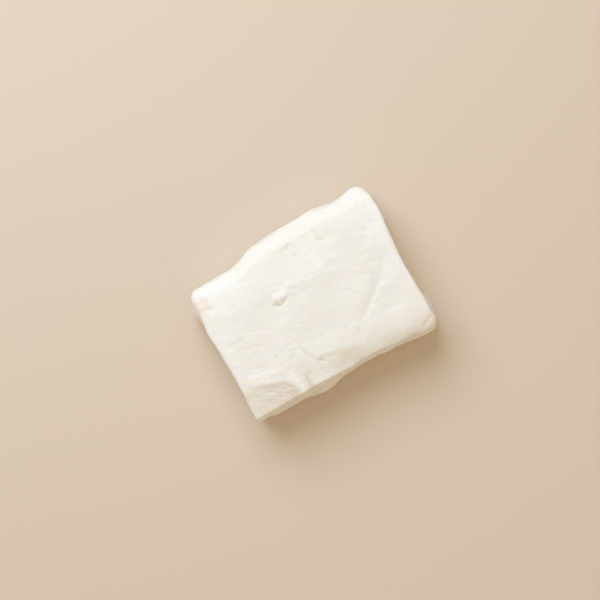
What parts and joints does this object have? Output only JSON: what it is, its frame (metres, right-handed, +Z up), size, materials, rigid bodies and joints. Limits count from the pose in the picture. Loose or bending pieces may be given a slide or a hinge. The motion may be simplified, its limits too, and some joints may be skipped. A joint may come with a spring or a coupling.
{
  "type": "akkawi cheese block",
  "caption": "Soft white brined cheese block with wavy pressed side, three knife-cut sides, folded top and a flat foot to rest on.",
  "frame": {"origin": "middle of the block's box, on the flat foot that it rests on", "axes": "+X along the block's length towards the fold near one end, +Y towards the wavy pressed side, +Z up"},
  "size_m": [0.1132, 0.088, 0.04],
  "materials": {
    "white_cheese": "moist satin curd"
  },
  "bodies": {
    "root": {"cheese": "white_cheese"}
  },
  "joints": []
}
